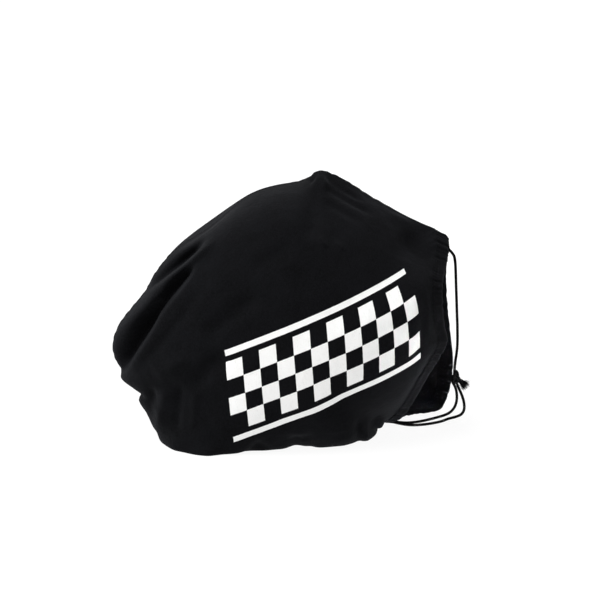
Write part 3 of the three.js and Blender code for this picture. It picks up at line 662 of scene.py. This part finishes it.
def stitch_piece(name, side, mouth, material):
    """The row of lockstitches, 3.2 mm apart: each a short thread, thick in the middle and
    sunk at both ends, on the outer and on the inner face of the hem."""
    s, edge, inward, out = mouth
    run = np.r_[0, np.cumsum(np.linalg.norm(np.diff(edge, axis=0), axis=1))]
    places = np.arange(4.0, run[-1] - 4.0, 3.2)
    t, turn = np.linspace(-1, 1, 7), np.linspace(0, 2 * np.pi, 6, endpoint=False)
    points, faces = [], []
    quads, _, _ = ring_faces(7, 6)
    for face in (1, -1):
        base = edge + inward * (hem_width - 2.6) + out * (gathers(s, 0, side) + face * 1.02)[:, None]
        for place in places:
            at = place + 1.35 * t
            line = np.stack([np.interp(at, run, base[:, k]) for k in range(3)], 1)
            up = np.array([np.interp(place, run, out[:, k]) for k in range(3)]) * face
            over = np.array([np.interp(place, run, inward[:, k]) for k in range(3)])
            thick = 0.27 * np.sqrt(1.02 - t ** 2)
            line = line + up * (0.10 - 0.45 * t ** 4)[:, None]
            ring = line[:, None] + thick[:, None, None] * (
                over * np.cos(turn)[:, None] + up * np.sin(turn)[:, None])
            first = sum(len(p) for p in points)
            points.append(ring.reshape(-1, 3))
            order = quads if face * side > 0 else quads[:, ::-1]
            faces += (order + first).tolist()
            ends = [list(range(first, first + 6)), list(range(first + 36, first + 42))[::-1]]
            faces += ends if face * side < 0 else [e[::-1] for e in ends]
    piece = mesh_piece(name, np.concatenate(points) / 1000, faces, material)
    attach(piece, "root")
    return piece


thread, shader, add, links = new_material("black_thread", (0.0028, 0.0028, 0.0031), 0.7)
shader.inputs["Specular IOR Level"].default_value = 0.06
place = add("ShaderNodeTexCoord").outputs["Object"]
twist = add("ShaderNodeTexNoise", {"Vector": place, "Scale": 3000.0, "Detail": 2.0})
twisted = add("ShaderNodeBump", {"Strength": 0.4, "Distance": 0.0001, "Height": twist.outputs["Fac"]})
links.new(twisted.outputs["Normal"], shader.inputs["Normal"])
front_hem, front_line = hem_piece("front_mouth_hem", "front_hem", front_mouth, -1, plain_cloth)
back_hem, back_line = hem_piece("back_mouth_hem", "back_hem", back_mouth, 1, plain_cloth)
front_stitches = stitch_piece("front_hem_stitches", -1, front_line, thread)
back_stitches = stitch_piece("back_hem_stitches", 1, back_line, thread)

# A plain pale floor that curves up behind the bag and glows like a light table, soft studio
# light, and one narrow light into the mouth.
floor_color, shader, add, links = new_material("studio_floor", (0.10, 0.10, 0.10), 0.9)
shader.inputs["Specular IOR Level"].default_value = 0.0
shader.inputs["Emission Color"].default_value = (1.0, 1.0, 1.0, 1)
shader.inputs["Emission Strength"].default_value = 0.93
floor_reach = 60.0
run = np.linspace(0, 1, 60)
depth = np.concatenate([[-6.0, -2.0, 0.0, 1.5], 3.0 + 1.5 * np.sin(run * np.pi / 2), [4.5, 4.5]])
rise = np.concatenate([[0.0, 0.0, 0.0, 0.0], 1.5 - 1.5 * np.cos(run * np.pi / 2), [4.0, 7.0]])
sweep = np.stack([np.stack([np.full_like(depth, x), depth, rise], 1) for x in (-floor_reach, floor_reach)],
                 1)
count = len(depth)
quads = [[2 * k, 2 * k + 1, 2 * k + 3, 2 * k + 2] for k in range(count - 1)]
floor = mesh_piece("studio_floor", sweep, quads, floor_color)

world = bpy.data.worlds.new("studio")
world.use_nodes = True
world.node_tree.nodes["Background"].inputs["Color"].default_value = (1.0, 1.0, 1.0, 1)
# The room behind is white to the eye and gives only a little light.
seen = world.node_tree.nodes.new("ShaderNodeLightPath").outputs["Is Camera Ray"]
strength = world.node_tree.nodes.new("ShaderNodeMath")
strength.operation = "MULTIPLY_ADD"
strength.inputs[1].default_value = 0.80
strength.inputs[2].default_value = 0.20
world.node_tree.links.new(seen, strength.inputs[0])
world.node_tree.links.new(strength.outputs[0],
                          world.node_tree.nodes["Background"].inputs["Strength"])
bpy.context.scene.world = world
bpy.context.scene.view_settings.view_transform = "Standard"
# Each light's place, its power in watts, its size, how wide it spreads in degrees, its aim.
for name, place, power, size, spread, aim in (
        ("key_light", (-1.25, -0.75, 2.1), 90.0, 1.8, 180.0, (0.0, 0.0, 0.12)),
        ("front_light", (0.5, -2.6, 0.9), 12.0, 1.6, 180.0, (0.0, 0.0, 0.12)),
        ("mouth_light", (0.9, -1.7, 0.2), 0.09, 0.1, 6.0, (0.16, 0.03, 0.06)),
        ("back_light", (-0.5, 1.6, 2.0), 30.0, 1.6, 180.0, (0.0, 0.2, 0.05)),
        ("backdrop_light", (0.0, 1.4, 2.6), 120.0, 2.4, 180.0, (0.0, 4.3, 0.9))):
    light = bpy.data.lights.new(name, "AREA")
    light.energy = power
    light.size = size
    light.spread = np.radians(spread)
    lamp = bpy.data.objects.new(name, light)
    lamp.location = place
    aim = np.array(aim) - place
    lamp.rotation_euler = (np.arctan2(np.hypot(aim[0], aim[1]), -aim[2]), 0,
                           np.arctan2(-aim[0], aim[1]))
    bpy.context.scene.collection.objects.link(lamp)
